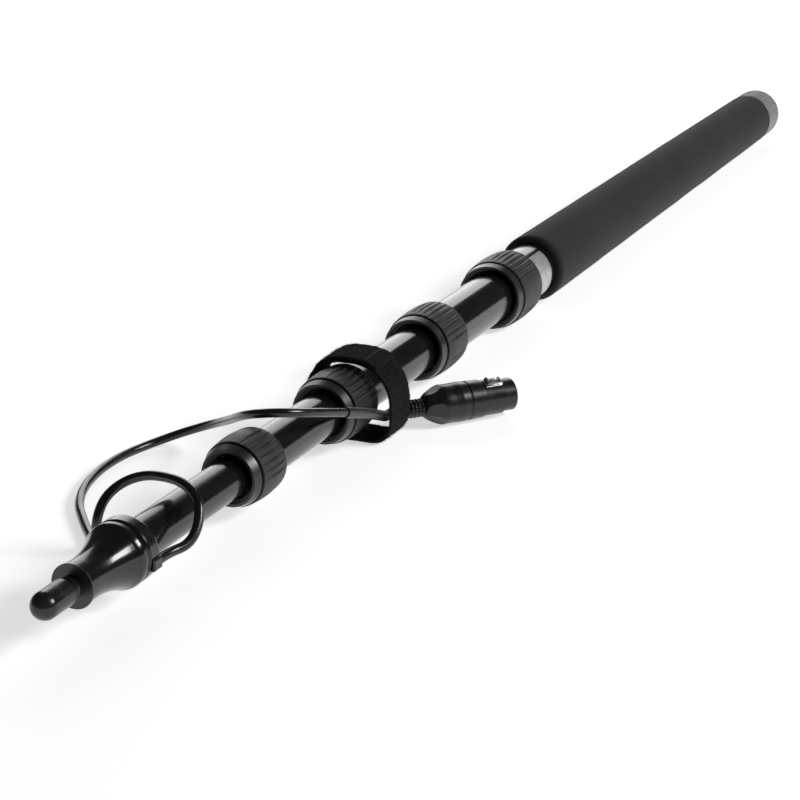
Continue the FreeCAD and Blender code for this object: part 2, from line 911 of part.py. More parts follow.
def make_plug_shell():
    """Metal shell in three steps with a groove, slotted for the latch."""
    widest, shell = dim("boot_radius"), dim("shell_radius")
    barrel, bore = dim("barrel_radius"), dim("shell_bore")
    end = dim("plug_length")
    corners = [
        (bore, as_size(SHELL_START)),
        (widest - 0.4, as_size(SHELL_START)),
        (widest - 0.15, as_size(BOOT_END)),
        (widest - 0.35, as_size(RING_START - 0.5)),
        (widest - 0.9, as_size(RING_START)),
        (widest - 0.9, as_size(RING_START + 0.6)),
        (widest - 0.4, as_size(RING_START + 1.0)),
        (widest - 0.65, as_size(SHELL_STEP - 0.4)),
        (shell, as_size(SHELL_STEP)),
        (shell, as_size(BARREL_START)),
        (barrel, as_size(BARREL_START + 0.5)),
        (barrel, end - 0.5),
        (barrel - 0.3, end),
        (bore, end),
    ]
    blank = on_plug(turned("plug_shell_blank", corners))
    slot = box("latch_slot", (6.0, 10.0, 6.0), (0, 0, 0))
    slot_at_rest = Placement(Vector(-3.0, 40.2, 5.0), Rotation())
    whole = on_plug(slot, dim("latch_roll").value)
    shifted = whole.Placement.multiply(slot_at_rest)
    place(slot, shifted.Base.x, shifted.Base.y, shifted.Base.z, shifted.Rotation)
    return boolean("Cut", "plug_shell", blank, slot)


def make_plug_latch():
    """Release button: a low block with a raised thumb ridge at its rear."""
    roll = dim("latch_roll").value
    parts = []
    pieces = (
        ("latch_plate", (5.2, 9.2, 1.7), (-2.6, 40.6, 8.2)),
        ("latch_ridge", (4.2, 3.0, 1.1), (-2.1, 41.0, 9.6)),
    )
    for name, sizes, corner in pieces:
        piece = on_plug(box(name, sizes, (0, 0, 0)), roll)
        shifted = piece.Placement.multiply(Placement(Vector(*corner), Rotation()))
        place(piece, shifted.Base.x, shifted.Base.y, shifted.Base.z, shifted.Rotation)
        parts.append(piece)
    return boolean("Fuse", "plug_latch", parts[0], parts[1])


def make_plug_insert():
    """Insulating insert with three contact holes."""
    end = dim("plug_length") - 0.6
    bore = dim("shell_bore")
    corners = [
        (ZERO, as_size(INSERT_START - 3)),
        (bore, as_size(INSERT_START - 3)),
        (bore, as_size(INSERT_START)),
        (bore - 0.6, as_size(INSERT_START)),
        (bore - 0.6, end),
        (ZERO, end),
    ]
    body = turned("plug_insert", corners)
    drill(body, "contacts", pin_centres(3), 1.5)
    return on_plug(body)


def make_plug_contacts():
    base = (dim("plug_x"), along(dim("plug_station")), dim("plug_height"))
    return make_pins("plug_contacts", 1.5, 14.0, INSERT_START - 1, base, plug_turn())


# ---------------------------------------------------------------- strap


def strap_outline(grow):
    """Round over the pole, flat on the floor, with a tighter corner beside the cable."""
    bore = dim("strap_bore") + grow
    corner = dim("strap_corner") + grow
    side = dim("strap_reach") + bore
    heel = dim("strap_heel")
    return [
        (ZERO, bore),
        (0 - bore, ZERO, bore),
        (0 - bore, 0 - heel),
        (0 - heel, 0 - bore, bore - heel),
        (side - corner, 0 - bore),
        (side, corner - bore, corner),
        (side, ZERO),
        (dim("strap_reach"), bore, bore),
    ]


def make_cable_strap():
    body = new_body("cable_strap")
    width = dim("strap_width")
    outside = new_sketch(body, "outside", "XZ_Plane")
    draw_profile(outside, strap_outline(dim("strap_thickness")))
    pad = body.newObject("PartDesign::Pad", "strap_band")
    pad.Profile = outside
    bind(pad, "Length", width)
    pad.Midplane = True
    inside = new_sketch(body, "inside", "XZ_Plane")
    draw_profile(inside, strap_outline(ZERO))
    pocket = body.newObject("PartDesign::Pocket", "strap_opening")
    pocket.Profile = inside
    pocket.Type = "ThroughAll"
    pocket.Midplane = True
    body.Tip = pocket
    on_axis(body, dim("strap_front") + width * 0.5)
    return body


# ---------------------------------------------------------------- internal cable


def make_coil(label, start, end):
    coil = cylinder(label, dim("coil_radius"), end - start, 0, along(start), AXIS)
    coil.Label = label
    return coil


# ---------------------------------------------------------------- assembly

parts = [make_tube(number) for number in (1, 2, 3, 4, 5)]
for stage in (1, 2, 3, 4):
    parts.append(make_guide_bush(stage))
    parts.append(make_lock_nut(stage))
    parts.append(make_grip_sleeve(stage))
    parts.append(make_ferrule(stage))
    parts.append(make_collet(stage))
    parts.append(make_wiper(stage))

parts += [make_thread_cap(), make_mic_stud(), make_tip_cone()]
parts += [make_exit_ring(), make_exit_gland()]
parts += [make_foam_grip(), make_serial_label(), make_base_cap(), make_output_insert()]
well_floor = dim("closed_length") - dim("socket_depth") - dim("insert_length")
parts.append(
    make_pins("output_pins", dim("pin_radius").value, 16.0, 0.0, (0, along(well_floor), AXIS))
)
parts += [make_mic_cable(), make_cable_sleeve()]
parts += [make_plug_boot(), make_plug_chuck(), make_plug_shell(), make_plug_latch()]
parts += [make_plug_insert(), make_plug_contacts()]
parts.append(make_cable_strap())
parts.append(make_coil("coil_cable", as_size(64.0), as_size(996.0)))
parts.append(make_coil("coil_tail", as_size(1000.0), well_floor))

doc.recompute()
for obj in doc.Objects:
    if "Invalid" in obj.State or "Error" in obj.State:
        raise RuntimeError(f"{obj.Label} failed: {obj.State}")
for obj in parts:
    if obj.Shape.isNull() or not obj.Shape.isValid():
        raise RuntimeError(f"{obj.Label} has no valid shape")

os.makedirs("parts", exist_ok=True)
for obj in parts:
    obj.Shape.exportStep(f"parts/{obj.Label}.step")
print(len(parts), "sub-parts written")
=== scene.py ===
import math
import random

import bmesh
import bpy
from mathutils import Matrix, Vector, noise


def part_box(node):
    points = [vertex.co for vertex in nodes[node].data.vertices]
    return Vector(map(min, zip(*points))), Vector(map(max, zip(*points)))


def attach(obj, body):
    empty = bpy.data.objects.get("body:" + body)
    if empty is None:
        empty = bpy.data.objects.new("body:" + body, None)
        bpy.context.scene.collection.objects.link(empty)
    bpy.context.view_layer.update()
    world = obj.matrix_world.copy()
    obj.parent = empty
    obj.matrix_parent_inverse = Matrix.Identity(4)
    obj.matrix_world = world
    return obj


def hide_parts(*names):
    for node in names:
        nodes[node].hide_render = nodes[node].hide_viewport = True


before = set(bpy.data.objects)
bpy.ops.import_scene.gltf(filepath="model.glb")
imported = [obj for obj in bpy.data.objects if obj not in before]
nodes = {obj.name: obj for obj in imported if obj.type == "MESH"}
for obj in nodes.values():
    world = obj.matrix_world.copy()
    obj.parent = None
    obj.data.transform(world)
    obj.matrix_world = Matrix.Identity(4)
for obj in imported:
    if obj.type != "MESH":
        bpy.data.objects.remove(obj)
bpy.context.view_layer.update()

SEED = 11
AXIS_HEIGHT = (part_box("tube_5")[0].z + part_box("tube_5")[1].z) / 2
TIP_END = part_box("thread_cap")[0].y
# New pieces stay this far inside the CAD outline that they stand for.
INSIDE = 0.0001
POLE_AXIS = Vector((0, 1, 0))


def at(x, station, height):
    """A point beside the pole: x and height from its axis, station from the tip."""
    return Vector((x, TIP_END + station, AXIS_HEIGHT + height))


# ---------------------------------------------------------------- camera

CAMERA_SPOT = (0.37424, -1.05709, 0.31836)
CAMERA_AZIMUTH = 23.92
CAMERA_ELEVATION = 19.11
LENS_MM = 85
SENSOR_MM = 36


def make_camera():
    data = bpy.data.cameras.new("camera")
    data.lens = LENS_MM
    data.sensor_width = SENSOR_MM
    data.clip_start = 0.05
    data.clip_end = 60
    camera = bpy.data.objects.new("camera", data)
    bpy.context.scene.collection.objects.link(camera)
    camera.location = CAMERA_SPOT
    camera.rotation_euler = (math.radians(90 - CAMERA_ELEVATION), 0, math.radians(CAMERA_AZIMUTH))
    bpy.context.scene.camera = camera


# ---------------------------------------------------------------- small helpers


def link(name, data):
    obj = bpy.data.objects.new(name, data)
    bpy.context.scene.collection.objects.link(obj)
    return obj


def mesh_object(name, points, faces, smooth=True):
    data = bpy.data.meshes.new(name)
    data.from_pydata([tuple(point) for point in points], [], faces)
    data.update()
    if smooth:
        data.shade_smooth()
    return link(name, data)


def grid_faces(rows, columns, close_rows=False):
    """Quads over a grid of points stored row by row; each row closes on itself."""
    faces = []
    for row in range(rows if close_rows else rows - 1):
        for column in range(columns):
            next_row = (row + 1) % rows
            next_column = (column + 1) % columns
            faces.append(
                (
                    row * columns + column,
                    row * columns + next_column,
                    next_row * columns + next_column,
                    next_row * columns + column,
                )
            )
    return faces


def lathe(name, profile, segments):
    """Closed ring turned about the pole's axis from (radius, station) points."""
    points = []
    for radius, station in profile:
        for step in range(segments):
            turn = 2 * math.pi * step / segments
            points.append(at(radius * math.cos(turn), station, radius * math.sin(turn)))
    return mesh_object(name, points, grid_faces(len(profile), segments, close_rows=True))


def show(piece, body, slot_name, finish, *replaced):
    """Gives a new piece its material and body, and hides what it stands for; its slot name is not used."""
    piece.data.materials.clear()
    piece.data.materials.append(finish)
    if replaced:
        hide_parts(*replaced)
    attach(piece, body)
    return piece


# ---------------------------------------------------------------- materials


class Finish:
    """A Principled material with shortcuts for procedural detail."""

    def __init__(self, name, colour, roughness, metallic=0.0, specular=0.5):
        self.material = bpy.data.materials.new(name)
        self.material.use_nodes = True
        self.tree = self.material.node_tree
        self.shader = self.tree.nodes["Principled BSDF"]
        self.set("Base Color", (*colour, 1.0))
        self.set("Roughness", roughness)
        self.set("Metallic", metallic)
        self.set("Specular IOR Level", specular)
        self.place = self.tree.nodes.new("ShaderNodeTexCoord").outputs["Object"]

    def set(self, socket, value):
        self.shader.inputs[socket].default_value = value

    def join(self, source, target):
        self.tree.links.new(source, target)

    def stretched(self, scale):
        """Object coordinates scaled apart along X, Y and Z."""
        mapping = self.tree.nodes.new("ShaderNodeMapping")
        mapping.inputs["Scale"].default_value = scale
        self.join(self.place, mapping.inputs["Vector"])
        return mapping.outputs["Vector"]

    def noise(self, scale, detail=4.0, roughness=0.55, stretch=None, distortion=0.0):
        texture = self.tree.nodes.new("ShaderNodeTexNoise")
        texture.inputs["Scale"].default_value = scale
        texture.inputs["Detail"].default_value = detail
        texture.inputs["Roughness"].default_value = roughness
        texture.inputs["Distortion"].default_value = distortion
        self.join(self.stretched(stretch) if stretch else self.place, texture.inputs["Vector"])
        return texture.outputs["Fac"]

    def cells(self, scale):
        texture = self.tree.nodes.new("ShaderNodeTexVoronoi")
        texture.inputs["Scale"].default_value = scale
        self.join(self.place, texture.inputs["Vector"])
        return texture.outputs["Distance"]

    def ranged(self, source, low, high, start=0.3, end=0.7):
        """Maps a texture's start..end on to low..high."""
        ranger = self.tree.nodes.new("ShaderNodeMapRange")
        ranger.inputs["From Min"].default_value = start
        ranger.inputs["From Max"].default_value = end
        ranger.inputs["To Min"].default_value = low
        ranger.inputs["To Max"].default_value = high
        self.join(source, ranger.inputs["Value"])
        return ranger.outputs["Result"]

    def vary_roughness(self, source, low, high, start=0.3, end=0.7):
        self.join(self.ranged(source, low, high, start, end), self.shader.inputs["Roughness"])

    def vary_colour(self, source, first, second, start=0.3, end=0.7):
        mixer = self.tree.nodes.new("ShaderNodeMix")
        mixer.data_type = "RGBA"
        mixer.inputs["A"].default_value = (*first, 1.0)
        mixer.inputs["B"].default_value = (*second, 1.0)
        self.join(self.ranged(source, 0.0, 1.0, start, end), mixer.inputs["Factor"])
        self.join(mixer.outputs["Result"], self.shader.inputs["Base Color"])

    def combine(self, first, second, mode="ADD"):
        maths = self.tree.nodes.new("ShaderNodeMath")
        maths.operation = mode
        self.join(first, maths.inputs[0])
        self.join(second, maths.inputs[1])
        return maths.outputs["Value"]

    def emboss(self, source, strength, distance):
        bump = self.tree.nodes.new("ShaderNodeBump")
        bump.inputs["Strength"].default_value = strength
        bump.inputs["Distance"].default_value = distance
        self.join(source, bump.inputs["Height"])
        self.join(bump.outputs["Normal"], self.shader.inputs["Normal"])


def anodised_tube():
    """Gloss black anodising with faint drawing lines along the tube and small handling marks."""
    finish = Finish("gloss_black_anodised", (0.0045, 0.0045, 0.005), 0.1, specular=0.6)
    lines = finish.noise(900, detail=3, stretch=(1.0, 0.012, 1.0))
    smears = finish.noise(38, detail=5, roughness=0.65, distortion=0.6)
    finish.vary_roughness(finish.combine(lines, smears, "MULTIPLY"), 0.13, 0.22, 0.12, 0.42)
    finish.vary_colour(smears, (0.0035, 0.0035, 0.004), (0.0065, 0.0065, 0.007), 0.35, 0.75)
    finish.emboss(lines, 0.05, 0.00003)
    return finish.material


def satin_metal():
    finish = Finish("satin_black_metal", (0.012, 0.012, 0.0125), 0.3, specular=0.55)
    grain = finish.noise(4200, detail=2)
    smears = finish.noise(60, detail=5, roughness=0.6)
    finish.vary_roughness(smears, 0.24, 0.4)
    finish.vary_colour(smears, (0.009, 0.009, 0.0095), (0.017, 0.017, 0.018))
    finish.emboss(grain, 0.12, 0.00004)
    return finish.material


def gloss_nose():
    """Polished black anodising of the nose and exit ring."""
    finish = Finish("gloss_nose", (0.0055, 0.0055, 0.006), 0.16, specular=0.6)
    turning = finish.noise(700, detail=2, stretch=(0.02, 1.0, 0.02))
    smears = finish.noise(55, detail=5, roughness=0.65)
    finish.vary_roughness(smears, 0.13, 0.24)
    finish.vary_colour(smears, (0.0045, 0.0045, 0.005), (0.0085, 0.0085, 0.009), 0.35, 0.7)
    finish.emboss(turning, 0.06, 0.00003)
    return finish.material


def moulded_rubber():
    finish = Finish("moulded_rubber", (0.028, 0.028, 0.029), 0.55, specular=0.42)
    grain = finish.noise(2600, detail=3, roughness=0.6)
    dust = finish.noise(90, detail=6, roughness=0.7)
    finish.vary_roughness(dust, 0.42, 0.62)
    finish.vary_colour(dust, (0.012, 0.012, 0.0125), (0.024, 0.024, 0.0245), 0.35, 0.75)
    finish.emboss(grain, 0.35, 0.00012)
    return finish.material


def cap_vinyl():
    finish = Finish("cap_vinyl", (0.01, 0.01, 0.011), 0.22, specular=0.5)
    smears = finish.noise(160, detail=5, roughness=0.65)
    finish.vary_roughness(smears, 0.16, 0.32)
    finish.vary_colour(smears, (0.008, 0.008, 0.009), (0.015, 0.015, 0.016))
    finish.emboss(finish.noise(1500, detail=2), 0.08, 0.00005)
    return finish.material


def cable_jacket():
    finish = Finish("black_pvc", (0.006, 0.006, 0.0062), 0.2, specular=0.5)
    smears = finish.noise(120, detail=5, roughness=0.65)
    finish.vary_roughness(smears, 0.14, 0.32)
    finish.vary_colour(smears, (0.005, 0.005, 0.0052), (0.011, 0.011, 0.0115))
    finish.emboss(finish.noise(700, detail=3), 0.1, 0.00008)
    return finish.material


def grip_foam():
    """Closed-cell foam: fine pits with painted shade in them, a soft sheen and faint dust."""
    finish = Finish("black_foam", (0.03, 0.03, 0.031), 0.9, specular=0.15)
    finish.set("Sheen Weight", 0.08)
    finish.set("Sheen Roughness", 0.6)
    pits = finish.cells(2100)
    lumps = finish.noise(420, detail=4, roughness=0.6)
    clouds = finish.noise(16, detail=5, roughness=0.62)
    # Colour is darker in the pits, which is painted shade, and varies in broad clouds as faint dust.
    pit_shade_and_dust = finish.combine(finish.ranged(pits, 0.0, 0.6, 0.0, 0.5), finish.ranged(clouds, 0.0, 0.6))
    finish.vary_colour(pit_shade_and_dust, (0.008, 0.008, 0.0083), (0.018, 0.018, 0.0184), 0.2, 1.0)
    finish.emboss(finish.combine(pits, lumps), 0.45, 0.00022)
    return finish.material


def strap_fabric():
    finish = Finish("strap_hook_loop", (0.006, 0.006, 0.0063), 0.9, specular=0.12)
    finish.set("Sheen Weight", 0.04)
    finish.set("Sheen Roughness", 0.5)
    tuft_relief_and_shade = finish.noise(620, detail=6, roughness=0.8, distortion=1.6)
    # The same noise raises the tufts and colours them: the tuft tops are painted lighter as a painted
    # highlight, and the hollows between them are painted darker as painted shade.
    finish.vary_colour(tuft_relief_and_shade, (0.0025, 0.0025, 0.0027), (0.024, 0.024, 0.0245), 0.42, 0.7)
    finish.emboss(tuft_relief_and_shade, 1.0, 0.0009)
    return finish.material


def knurled_grey():
    finish = Finish("grey_cap", (0.42, 0.42, 0.415), 0.4, metallic=0.1)
    dirt = finish.noise(140, detail=6, roughness=0.7)
    finish.vary_roughness(dirt, 0.34, 0.55)
    finish.vary_colour(dirt, (0.17, 0.17, 0.168), (0.29, 0.29, 0.287))
    finish.emboss(finish.noise(1800, detail=2), 0.15, 0.00006)
    return finish.material


def dark_steel():
    """Blackened steel of the stud and flange, turned fine."""
    finish = Finish("dark_steel", (0.012, 0.012, 0.0125), 0.28, specular=0.65)
    turning = finish.noise(1600, detail=2, stretch=(0.05, 1.0, 0.05))
    finish.vary_roughness(turning, 0.22, 0.36)
    finish.emboss(turning, 0.08, 0.00003)
    return finish.material


def label_foil():
    """Blank metallised label, faintly mottled where it was handled."""
    finish = Finish("label_foil", (0.5, 0.5, 0.49), 0.38, metallic=0.55)
    brushing = finish.noise(1300, detail=2, stretch=(1.0, 0.03, 1.0))
    marks = finish.noise(240, detail=6, roughness=0.75)
    finish.vary_roughness(marks, 0.3, 0.55)
    finish.vary_colour(marks, (0.34, 0.34, 0.33), (0.62, 0.62, 0.61))
    finish.emboss(brushing, 0.12, 0.00003)
    return finish.material


def plain(name, colour, roughness, metallic=0.0, grain=1500.0, spread=0.06):
    """A moulded or machined inner part with fine grain and a little unevenness."""
    finish = Finish(name, colour, roughness, metallic=metallic)
    uneven = finish.noise(grain / 12, detail=5, roughness=0.6)
    darker = tuple(channel * 0.8 for channel in colour)
    lighter = tuple(min(1.0, channel * 1.15) for channel in colour)
    finish.vary_roughness(uneven, max(0.02, roughness - spread), roughness + spread)
    finish.vary_colour(uneven, darker, lighter)
    finish.emboss(finish.noise(grain, detail=2), 0.12, 0.00004)
    return finish.material


def plug_plastic():
    finish = Finish("plug_plastic", (0.0075, 0.0075, 0.0078), 0.27, specular=0.5)
    grain = finish.noise(2400, detail=3)
    dust = finish.noise(130, detail=6, roughness=0.7)
    finish.vary_roughness(dust, 0.2, 0.36)
    finish.vary_colour(dust, (0.0055, 0.0055, 0.0058), (0.012, 0.012, 0.0125))
    finish.emboss(grain, 0.12, 0.00005)
    return finish.material


# ---------------------------------------------------------------- free cable

CABLE_DIAMETER = 0.0042

# x, station from the tip and height above the pole's axis, in metres.
ROUTE = [
    (0.0130, 0.0640, -0.0032),
    (0.0130, 0.0718, -0.0032),
    (0.0172, 0.0805, -0.0026),
    (0.0179, 0.0880, 0.0030),
    (0.0148, 0.0942, 0.0110),
    (0.0060, 0.0985, 0.0155),
    (-0.0050, 0.1020, 0.0153),
    (-0.0165, 0.1045, 0.0135),
    (-0.0265, 0.1035, 0.0093),
    (-0.0326, 0.0985, 0.0035),
    (-0.0340, 0.0935, -0.0040),
    (-0.0346, 0.0930, -0.0120),
    (-0.0386, 0.0972, -0.0176),
    (-0.0460, 0.1048, -0.0183),
    (-0.0560, 0.1160, -0.0183),
    (-0.0685, 0.1310, -0.0183),
    (-0.0778, 0.1500, -0.0183),
    (-0.0828, 0.1710, -0.0183),
    (-0.0832, 0.1920, -0.0183),
    (-0.0785, 0.2095, -0.0180),
    (-0.0680, 0.2200, -0.0145),
    (-0.0535, 0.2200, -0.0085),
    (-0.0395, 0.2110, -0.0015),
    (-0.0270, 0.1970, 0.0060),
    (-0.0155, 0.1835, 0.0135),
    (-0.0045, 0.1755, 0.0188),
    (0.0065, 0.1760, 0.0208),
    (0.0138, 0.1845, 0.0190),
    (0.0174, 0.1975, 0.0155),
    (0.0196, 0.2125, 0.0110),
    (0.0210, 0.2280, 0.0060),
    (0.0212, 0.2430, 0.0008),
    (0.0202, 0.2565, -0.0045),
    (0.0186, 0.2675, -0.0090),
    (0.01768, 0.27814, -0.0103),
    (0.0229, 0.2842, -0.0103),
]


def make_cable():
    data = bpy.data.curves.new("mic_cable_line", "CURVE")
    data.dimensions = "3D"
    data.resolution_u = 12
    data.bevel_depth = CABLE_DIAMETER / 2
    data.bevel_resolution = 6
    data.use_fill_caps = True
    spline = data.splines.new("NURBS")
    spline.points.add(len(ROUTE) - 1)
    for point, (x, station, height) in zip(spline.points, ROUTE):
        point.co = (*at(x, station, height), 1.0)
    spline.order_u = 3
    spline.use_endpoint_u = True
    cable = link("mic_cable_line", data)
    return show(cable, "tip", "black_pvc", cable_jacket(), "mic_cable")


# ---------------------------------------------------------------- foam grip

FOAM_ROLL = 0.0032
FOAM_BEND_STEPS = 10
FOAM_BODY_STEPS = 120
FOAM_BROAD = 0.00022
FOAM_FINE = 0.00007
FOAM_INSET = 0.0002


def make_foam():
    """Foam sleeve, a little uneven along its length, with rolled ends."""
    low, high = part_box("foam_grip")
    outer = (high.z - low.z) / 2 - INSIDE
    inner = (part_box("tube_5")[1].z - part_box("tube_5")[0].z) / 2 + 0.00002
    start, end = low.y - TIP_END, high.y - TIP_END
    roll = FOAM_ROLL
    profile = [(inner, start)]
    for step in range(FOAM_BEND_STEPS + 1):
        turn = math.pi / 2 * step / FOAM_BEND_STEPS
        profile.append((outer - roll + roll * math.sin(turn), start + roll - roll * math.cos(turn)))
    for step in range(1, FOAM_BODY_STEPS):
        profile.append((outer, start + roll + (end - start - 2 * roll) * step / FOAM_BODY_STEPS))
    for step in range(FOAM_BEND_STEPS + 1):
        turn = math.pi / 2 * (1 - step / FOAM_BEND_STEPS)
        profile.append((outer - roll + roll * math.sin(turn), end - roll + roll * math.cos(turn)))
    profile.append((inner, end))
    foam = lathe("foam_sleeve", profile, segments=128)
    for vertex in foam.data.vertices:
        radial = Vector((vertex.co.x, 0, vertex.co.z - AXIS_HEIGHT))
        if radial.length < inner + 0.0005:
            continue
        broad = noise.noise(vertex.co * 22.0) * FOAM_BROAD
        fine = noise.noise(vertex.co * 160.0) * FOAM_FINE
        vertex.co += radial.normalized() * (broad + fine - FOAM_INSET)
    show(foam, "base", "black_foam", grip_foam(), "foam_grip")


# ---------------------------------------------------------------- swept shapes


def sweep(name, path, section):
    """Sweeps a closed section of (across, out) offsets along a path; across is along the pole."""
    points = []
    last = len(path) - 1
    for index, centre in enumerate(path):
        ahead = (path[min(index + 1, last)] - path[max(index - 1, 0)]).normalized()
        out = POLE_AXIS.cross(ahead).normalized()
        for shift, rise in section:
            points.append(centre + POLE_AXIS * shift + out * rise)
    count = len(section)
    faces = grid_faces(len(path), count)
    faces.append(tuple(reversed(range(count))))
    faces.append(tuple(range(last * count, (last + 1) * count)))
    return mesh_object(name, points, faces)


def round_section(radius, sides):
    turns = [2 * math.pi * step / sides for step in range(sides)]
    return [(radius * math.cos(turn), radius * math.sin(turn)) for turn in turns]


def rounded_bar(width, thickness, corner, steps=3):
    """Outline of a flat bar with rounded corners, as (across, out) offsets."""
    section = []
    corners = ((1, 1, 0), (-1, 1, 90), (-1, -1, 180), (1, -1, 270))
    for right, up, first in corners:
        for step in range(steps + 1):
            turn = math.radians(first + 90 * step / steps)
            across = right * (width / 2 - corner) + corner * math.cos(turn)
            section.append((across, up * (thickness / 2 - corner) + corner * math.sin(turn)))
    return section


def facing_out(obj):
    """Makes every face of a closed mesh point outwards."""
    work = bmesh.new()
    work.from_mesh(obj.data)
    bmesh.ops.recalc_face_normals(work, faces=work.faces)
    work.to_mesh(obj.data)
    work.free()
    obj.data.update()
    return obj


def sharpen(obj, degrees):
    obj.data.shade_smooth()
    obj.data.set_sharp_from_angle(angle=math.radians(degrees))
    return obj


# ---------------------------------------------------------------- strap

STRAP_THICKNESS = 0.0018
STRAP_HEEL = 0.007
STRAP_CORNER = 0.0102
STRAP_END_DEGREES = 54
STRAP_SOFTENING_PASSES = 6
STRAP_SIDE_STEPS = 40
STRAP_EDGE_ROUND = 0.0006
PILE_FIBRES = 16000
FIBRE_HALF_WIDTH = 0.00005
STITCHES = 9
STITCH_SPAN = 0.86
THREAD_RADIUS = 0.00022


def strap_path():
    """Centre line of the tape in x and height: from under the overlap, clockwise round, to its free end."""
    low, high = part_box("cable_strap")
    radius = (high.z - low.z) / 2 - INSIDE - STRAP_THICKNESS / 2
    side = high.x - INSIDE - STRAP_THICKNESS / 2
    reach = side - radius
    outer = radius + STRAP_THICKNESS * 1.03
    path = []

    def arc(centre_x, centre_height, size, first, last, end_size=None):
        steps = max(4, round(abs(last - first) / 4))
        for step in range(steps + 1):
            share = step / steps
            turn = math.radians(first + (last - first) * share)
            reached = size + ((end_size or size) - size) * share
            path.append((centre_x + reached * math.cos(turn), centre_height + reached * math.sin(turn)))

    arc(0.0, 0.0, radius, 112, 90)
    arc(reach, 0.0, radius, 90, 0)
    arc(side - STRAP_CORNER, STRAP_CORNER - radius, STRAP_CORNER, 0, -90)
    arc(-STRAP_HEEL, -STRAP_HEEL, radius - STRAP_HEEL, 270, 180)
    arc(0.0, 0.0, radius, 180, 146)
    arc(0.0, 0.0, radius, 142, 116, outer)
    arc(0.0, 0.0, outer, 112, 90)
    arc(reach, 0.0, outer, 90, STRAP_END_DEGREES)
    return path


def smooth_strap_path(path, station, spacing=0.0009):
    """Even points along the tape's centre line, slightly softened."""
    points = [at(x, station, height) for x, height in path]
    even = [points[0]]
    wanted = spacing
    travelled = 0.0
    for first, second in zip(points, points[1:]):
        run = (second - first).length
        while run > 0 and travelled + run >= wanted:
            even.append(first.lerp(second, (wanted - travelled) / run))
            wanted += spacing
        travelled += run
    for _ in range(STRAP_SOFTENING_PASSES):
        inner = [(a + b * 2 + c) / 4 for a, b, c in zip(even, even[1:], even[2:])]
        even = [even[0], *inner, even[-1]]
    return even


def split_long_sides(section, steps):
    """Adds points along the two long sides of a section."""
    width = max(across for across, _ in section) - min(across for across, _ in section)
    split = []
    for first, second in zip(section, section[1:] + section[:1]):
        count = steps if abs(second[0] - first[0]) > width / 2 else 1
        for step in range(count):
            share = step / count
            split.append(tuple(a + (b - a) * share for a, b in zip(first, second)))
    return split


def make_strap():
    """Hook-and-loop tape with an overlapping free end, a sewn seam and a fuzzy pile."""
    low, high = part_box("cable_strap")
    width = high.y - low.y - 0.0004
    station = (low.y + high.y) / 2 - TIP_END
    path = smooth_strap_path(strap_path(), station)
    fabric = strap_fabric()
    section = split_long_sides(rounded_bar(width, STRAP_THICKNESS, STRAP_EDGE_ROUND), STRAP_SIDE_STEPS)
    tape = sweep("strap_tape", path, section)
    facing_out(tape)
    normals = [vertex.normal.copy() for vertex in tape.data.vertices]
    for vertex, normal in zip(tape.data.vertices, normals):
        ragged = noise.noise(vertex.co * 850.0) * 0.00026
        wavy = noise.noise(vertex.co * 140.0) * 0.0003
        vertex.co += normal * (ragged + wavy * 0.5 - 0.00015)
        vertex.co.y += wavy * 1.6 + ragged
        vertex.co.z = max(vertex.co.z, INSIDE)
    tape.data.update()
    show(tape, "tip", "strap_hook_loop", fabric, "cable_strap")
    pile = make_pile(tape, fabric)
    seam = make_strap_seam(path, width)
    return [tape, pile, seam]


def make_pile(tape, fabric):
    """Short curled fibres that stand out of the tape's surface."""
    faces = [face for face in tape.data.polygons if len(face.vertices) == 4]
    weights = [face.area for face in faces]
    points = []
    strips = []
    for face in random.choices(faces, weights, k=PILE_FIBRES):
        corners = [tape.data.vertices[index].co for index in face.vertices]
        u, v = random.random(), random.random()
        root = corners[0].lerp(corners[1], u).lerp(corners[3].lerp(corners[2], u), v)
        lean = Vector([random.uniform(-1, 1) for _ in range(3)])
        up = (face.normal + lean * 0.75).normalized()
        side = up.cross(Vector([random.uniform(-1, 1) for _ in range(3)])).normalized()
        bend = face.normal.cross(up) * random.uniform(-0.5, 0.5) + lean * 0.2
        length = random.uniform(0.0005, 0.0013)
        start = len(points)
        for share in (0.0, 0.5, 1.0):
            centre = root + up * (length * share) + bend * (length * share * share)
            spread = side * (FIBRE_HALF_WIDTH * (1.15 - share))
            points.extend((centre - spread, centre + spread))
        strips.extend(
            (
                (start, start + 1, start + 3, start + 2),
                (start + 2, start + 3, start + 5, start + 4),
            )
        )
    floor_level = 0.00005
    for point in points:
        point.z = max(point.z, floor_level)
    pile = mesh_object("strap_pile", points, strips)
    return show(pile, "tip", "strap_hook_loop", fabric)


